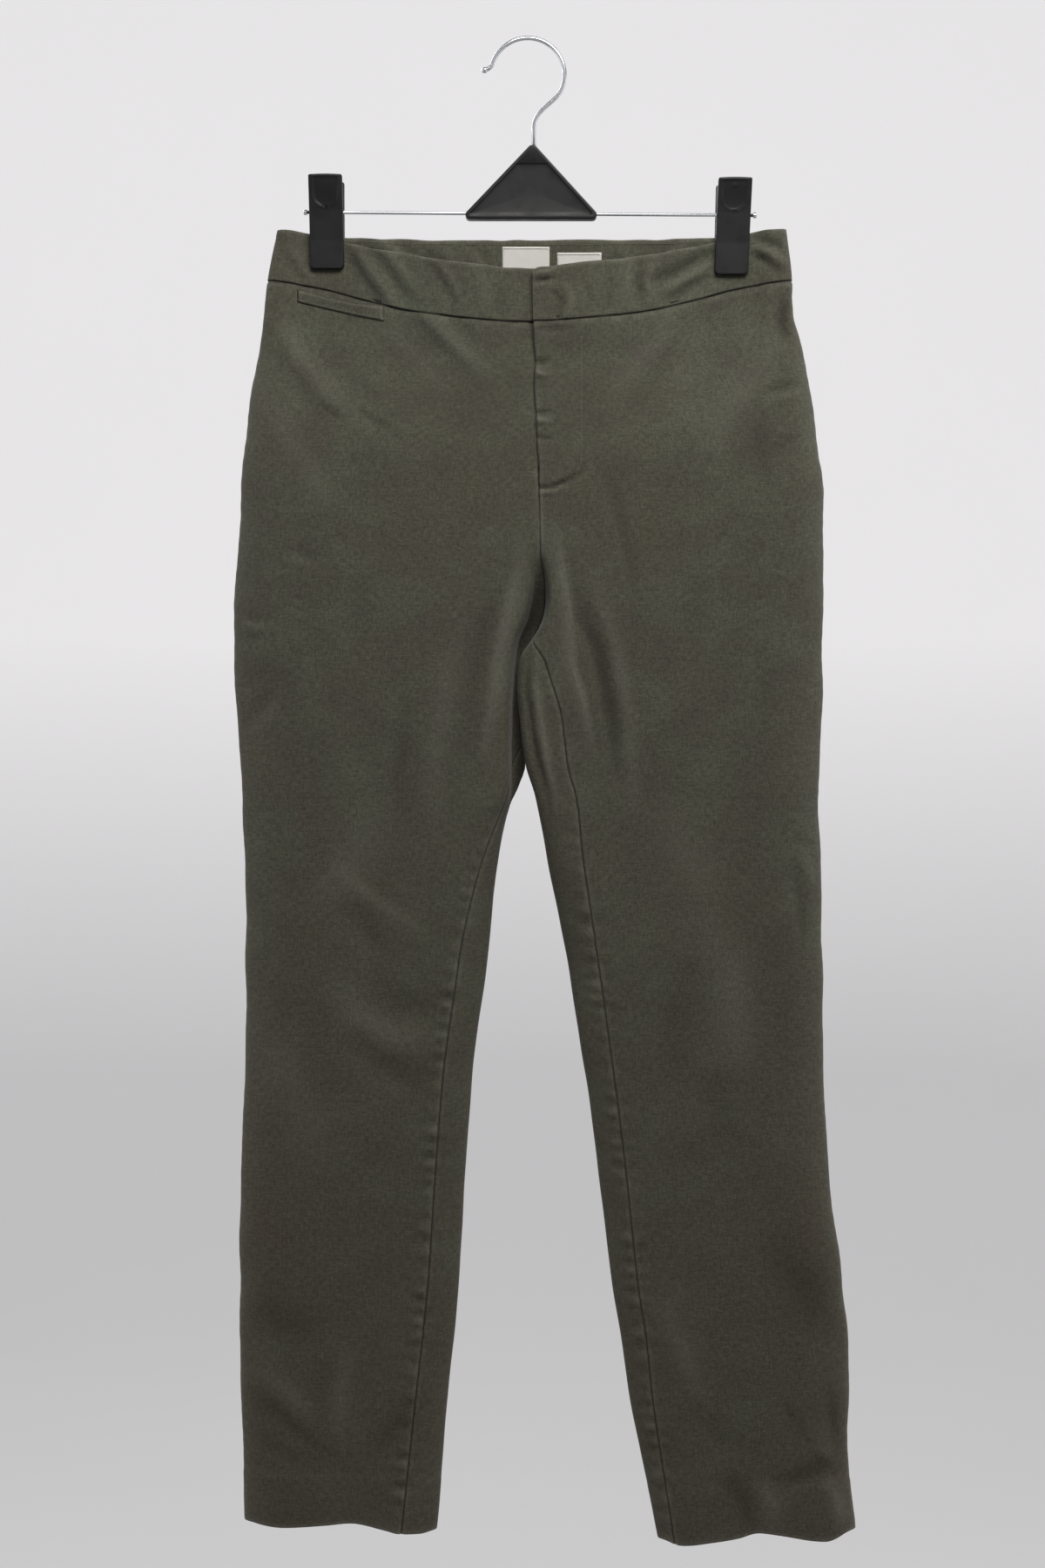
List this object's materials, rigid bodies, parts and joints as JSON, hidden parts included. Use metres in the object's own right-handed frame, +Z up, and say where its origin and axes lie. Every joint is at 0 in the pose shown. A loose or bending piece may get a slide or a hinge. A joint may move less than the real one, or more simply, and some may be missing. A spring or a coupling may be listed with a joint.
{
  "type": "dress pants held by a clip hanger",
  "caption": "Slim ankle-length twill trousers with a contour waistband and concealed fly, clipped by the waist to a wire hanger.",
  "frame": {"origin": "inside of the top of the hook, where it rests on a rail", "axes": "+Z up, -Y out of the front of the trousers, +X towards the wearer's left"},
  "size_m": [0.4628, 0.0488, 1.123],
  "materials": {
    "cotton_twill": "washed cotton stretch twill, dark olive, matt",
    "woven_label": "bare cream woven label",
    "black_plastic": "moulded black plastic, satin",
    "chrome_wire": "bright chromed wire",
    "plated_steel": "nickel plated steel"
  },
  "bodies": {
    "root": {"front_right": "cotton_twill", "front_left": "cotton_twill", "back_right": "cotton_twill", "back_left": "cotton_twill", "waistband_front_right": "cotton_twill", "waistband_front_left": "cotton_twill", "waistband_back": "cotton_twill", "waistband_facing_back": "cotton_twill", "pocket_welt": "cotton_twill", "zip_tape": "cotton_twill", "label_main": "woven_label", "label_size": "woven_label", "hanger_body": "black_plastic", "clip_right_front": "black_plastic", "clip_right_back": "black_plastic", "clip_left_front": "black_plastic", "clip_left_back": "black_plastic", "hanger_hook": "chrome_wire", "hanger_bar": "chrome_wire", "zip_slider": "plated_steel", "waist_hook": "plated_steel", "waist_bar": "plated_steel", "clip_right_spring": "plated_steel", "clip_left_spring": "plated_steel"}
  },
  "joints": []
}
